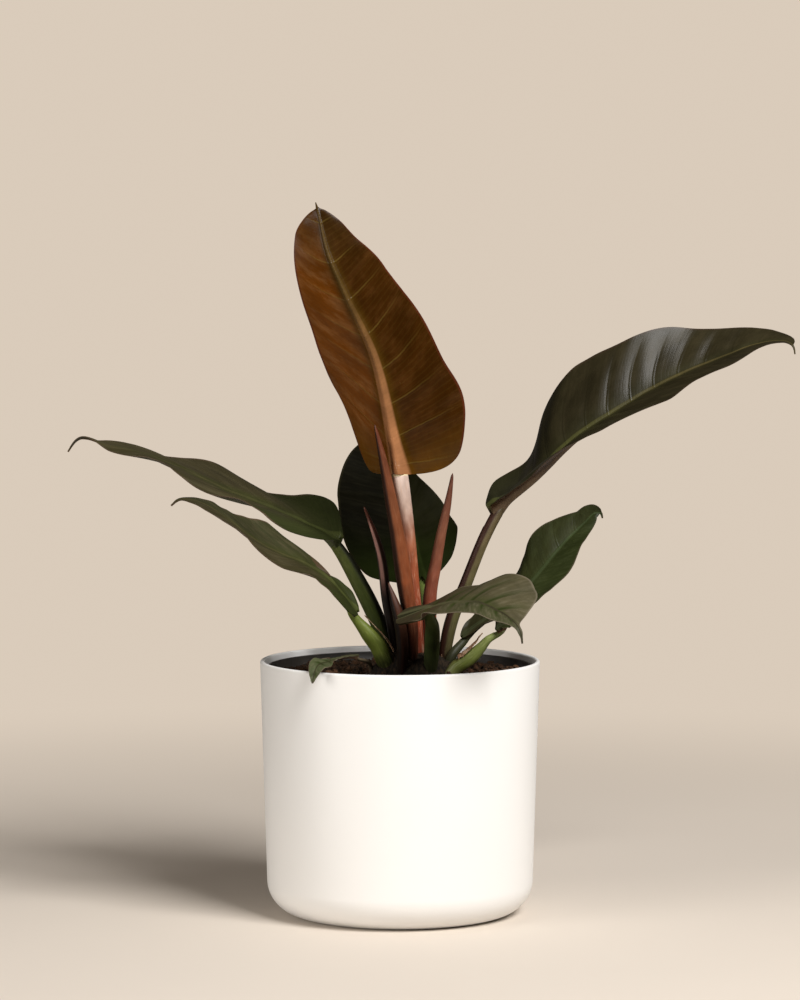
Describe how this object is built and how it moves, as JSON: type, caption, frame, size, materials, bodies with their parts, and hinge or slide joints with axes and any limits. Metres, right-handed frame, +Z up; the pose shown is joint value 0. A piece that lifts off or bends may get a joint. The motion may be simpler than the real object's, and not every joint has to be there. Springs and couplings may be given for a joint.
{
  "type": "potted philodendron",
  "caption": "Dark red-brown philodendron with long waved leaves on thick stalks, growing from soil in a plain white round cover pot.",
  "frame": {"origin": "middle of the cover pot's flat underside", "axes": "+Z up along the pot's axis; -Y is the front, the side that the picture shows; +X is to the right seen from the front"},
  "size_m": [0.4986, 0.2734, 0.4824],
  "materials": {
    "cover_pot": "smooth off-white satin",
    "nursery_pot": "thin dark moulded plastic",
    "soil": "loose peat and bark crumbs",
    "crown": "rough short stem",
    "blade_back": "waxy red-brown underside",
    "blade_dark": "glossy dark bronze green",
    "blade_green": "satin dark green",
    "blade_pale": "matt grey-green, limp",
    "stalk_red": "smooth pink-red, streaked",
    "stalk_green": "smooth olive green",
    "stalk_bright": "smooth bright green",
    "spear_red": "waxy dusty pink-brown",
    "dry_sheath": "dry papery brown"
  },
  "bodies": {
    "root": {"cover_pot": "cover_pot", "nursery_pot": "nursery_pot", "soil": "soil", "crown": "crown", "leaf_a": "blade_back", "leaf_b": "blade_dark", "leaf_c": "blade_dark", "leaf_d": "blade_green", "leaf_e": "blade_dark", "leaf_f": "blade_green", "leaf_g": "blade_pale", "leaf_h": "blade_pale", "leaf_i": "blade_green", "stalk_a": "stalk_red", "stalk_b": "stalk_green", "stalk_c": "stalk_green", "stalk_d": "stalk_bright", "stalk_e": "stalk_green", "stalk_f": "stalk_green", "stalk_g": "stalk_green", "stalk_h": "stalk_green", "stalk_i": "stalk_bright", "spear_tall": "spear_red", "spear_right": "spear_red", "spear_dark": "spear_red", "spear_short": "spear_red", "sheath_i": "dry_sheath", "sheath_d": "dry_sheath", "sheath_b": "dry_sheath"}
  },
  "joints": []
}
